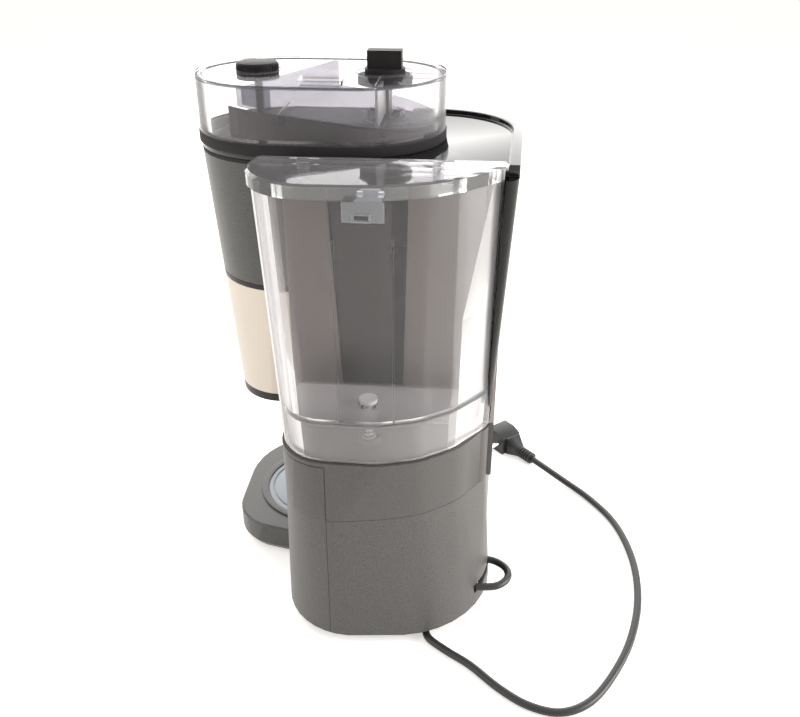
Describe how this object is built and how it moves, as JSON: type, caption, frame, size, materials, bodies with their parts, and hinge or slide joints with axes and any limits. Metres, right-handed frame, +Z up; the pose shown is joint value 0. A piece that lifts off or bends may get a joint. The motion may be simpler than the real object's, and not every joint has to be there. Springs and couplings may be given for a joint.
{
  "type": "grind and brew coffee maker",
  "caption": "Filter coffee maker with a clear bean hopper and grinder over a swing-out brew basket, a hot plate, and a clear water tank behind the column.",
  "frame": {"origin": "middle of the footprint on the floor, under the feet", "axes": "+Z up, -Y the front with the controls, +Y the water tank, +X the brew side"},
  "size_m": [0.381, 0.3851, 0.443],
  "materials": {
    "casing_black": "fine satin grain",
    "gloss_black": "gloss",
    "smoke_clear": "clear moulded plastic",
    "frosted_clear": "frosted",
    "sleeve_steel": "brushed round the sleeve",
    "metal_parts": "machined",
    "cast_plate": "coated satin",
    "grey_plastic": "matte",
    "rubber_black": "matte",
    "cord_black": "satin",
    "pin_metal": "polished",
    "board_green": "coated board",
    "filter_mesh": "fine mesh",
    "silicone": "translucent"
  },
  "bodies": {
    "casing": {"base_shell": "casing_black", "base_plate": "casing_black", "rubber_feet": "rubber_black", "base_screws": "metal_parts", "rear_cover": "casing_black", "upper_casing": "casing_black", "tank_seat": "casing_black", "seat_spigot": "grey_plastic", "top_cover": "gloss_black", "hopper_collar": "casing_black", "hopper_shell": "smoke_clear", "bean_tray": "smoke_clear", "grinder_housing": "grey_plastic", "grinder_motor": "metal_parts", "grounds_chute": "grey_plastic", "brew_head": "casing_black", "spray_head": "grey_plastic", "riser_tube": "silicone", "cold_hose": "silicone", "heater": "metal_parts", "thermostat": "grey_plastic", "hot_plate": "cast_plate", "hot_plate_ring": "casing_black", "hinge_bracket": "casing_black", "basket_hinge_pin": "metal_parts", "front_panel": "gloss_black", "display_lens": "gloss_black", "control_board": "board_green", "cord_gland": "casing_black", "power_cord": "cord_black", "cord_loop": "cord_black", "plug_body": "cord_black", "plug_pins": "pin_metal"},
    "basket": {"basket_holder": "casing_black", "brew_sleeve": "sleeve_steel", "basket_grip": "casing_black", "filter_cone": "filter_mesh"},
    "drip_stop": {"drip_stop": "grey_plastic", "drip_spring": "metal_parts"},
    "basket_hook": {"basket_hook": "casing_black"},
    "tank": {"tank_shell": "smoke_clear"},
    "tank_lid": {"tank_lid": "smoke_clear"},
    "lid_clip": {"lid_clip": "frosted_clear"},
    "tank_valve": {"tank_valve": "grey_plastic", "valve_spring": "metal_parts"},
    "left_lid": {"left_hopper_lid": "smoke_clear"},
    "right_lid": {"right_hopper_lid": "smoke_clear"},
    "grind_knob": {"grind_knob": "casing_black"},
    "grind_link": {"grind_link": "metal_parts"},
    "grind_ring": {"adjust_ring": "grey_plastic", "burr_ring": "metal_parts"},
    "bean_selector": {"selector_knob": "casing_black", "bean_shutter": "grey_plastic"},
    "burr_drive": {"burr_gear": "metal_parts", "burr_cone": "metal_parts"},
    "motor_rotor": {"motor_pinion": "metal_parts"},
    "strength_dial": {"strength_dial": "grey_plastic"},
    "power_button": {"power_button": "grey_plastic"},
    "start_button": {"start_button": "grey_plastic"}
  },
  "joints": [
    {"name": "basket_swing", "type": "hinge", "parent": "casing", "child": "basket", "pos_m": [-0.014, -0.092, 0.21], "axis": [0, 0, -1], "range_deg": [0, 90]},
    {"name": "drip_stop_press", "type": "slide", "parent": "basket", "child": "drip_stop", "axis": [0, 0, 1], "range_m": [0, 0.004], "stiffness_N_per_m": 400, "deforming": ["drip_spring"]},
    {"name": "hook_turn", "type": "hinge", "parent": "basket", "child": "basket_hook", "pos_m": [0.117, -0.056, 0.159], "axis": [0, 0, 1], "range_deg": [0, 30]},
    {"name": "tank_lift", "type": "slide", "parent": "casing", "child": "tank", "axis": [0, 0, 1], "range_m": [0, 0.25]},
    {"name": "tank_lid_open", "type": "hinge", "parent": "tank", "child": "tank_lid", "pos_m": [-0.02, 0.0571, 0.3824], "axis": [1, 0, 0], "range_deg": [0, 85]},
    {"name": "lid_clip_open", "type": "hinge", "parent": "tank_lid", "child": "lid_clip", "pos_m": [-0.0244, 0.1232, 0.381], "axis": [1, 0, 0], "range_deg": [0, 40]},
    {"name": "valve_lift", "type": "slide", "parent": "tank", "child": "tank_valve", "axis": [0, 0, 1], "range_m": [0, 0.004], "stiffness_N_per_m": 100, "deforming": ["valve_spring"]},
    {"name": "left_lid_lift", "type": "slide", "parent": "casing", "child": "left_lid", "axis": [0, 0, 1], "range_m": [0, 0.06]},
    {"name": "right_lid_lift", "type": "slide", "parent": "casing", "child": "right_lid", "axis": [0, 0, 1], "range_m": [0, 0.06]},
    {"name": "grind_turn", "type": "hinge", "parent": "casing", "child": "grind_knob", "pos_m": [0.081, -0.036, 0.426], "axis": [0, 0, 1], "range_deg": [-35, 35]},
    {"name": "link_turn", "type": "hinge", "parent": "grind_knob", "child": "grind_link", "pos_m": [0.081, -0.006, 0.379], "axis": [0, 0, 1], "range_deg": [-36, 36]},
    {"name": "ring_turn", "type": "hinge", "parent": "casing", "child": "grind_ring", "pos_m": [-0.0175, -0.036, 0.36], "axis": [0, 0, 1], "range_deg": [-36, 36]},
    {"name": "selector_turn", "type": "hinge", "parent": "casing", "child": "bean_selector", "pos_m": [-0.0175, -0.036, 0.426], "axis": [0, 0, 1], "range_deg": [0, 180]},
    {"name": "burr_spin", "type": "hinge", "parent": "casing", "child": "burr_drive", "pos_m": [-0.0175, -0.036, 0.34], "axis": [0, 0, 1], "continuous": true},
    {"name": "motor_spin", "type": "hinge", "parent": "casing", "child": "motor_rotor", "pos_m": [-0.0571, -0.036, 0.31], "axis": [0, 0, 1], "continuous": true},
    {"name": "dial_turn", "type": "hinge", "parent": "casing", "child": "strength_dial", "pos_m": [-0.05, -0.12007, 0.286], "axis": [0, -1, 0], "range_deg": [-135, 135]},
    {"name": "power_press", "type": "slide", "parent": "casing", "child": "power_button", "axis": [0, 1, 0], "range_m": [0, 0.0012], "stiffness_N_per_m": 600},
    {"name": "start_press", "type": "slide", "parent": "casing", "child": "start_button", "axis": [0, 1, 0], "range_m": [0, 0.0012], "stiffness_N_per_m": 600}
  ],
  "couplings": [
    {"joint": "ring_turn", "follows": "grind_turn", "ratio": 1},
    {"joint": "link_turn", "follows": "grind_turn", "ratio": -1},
    {"joint": "motor_spin", "follows": "burr_spin", "ratio": -3}
  ]
}
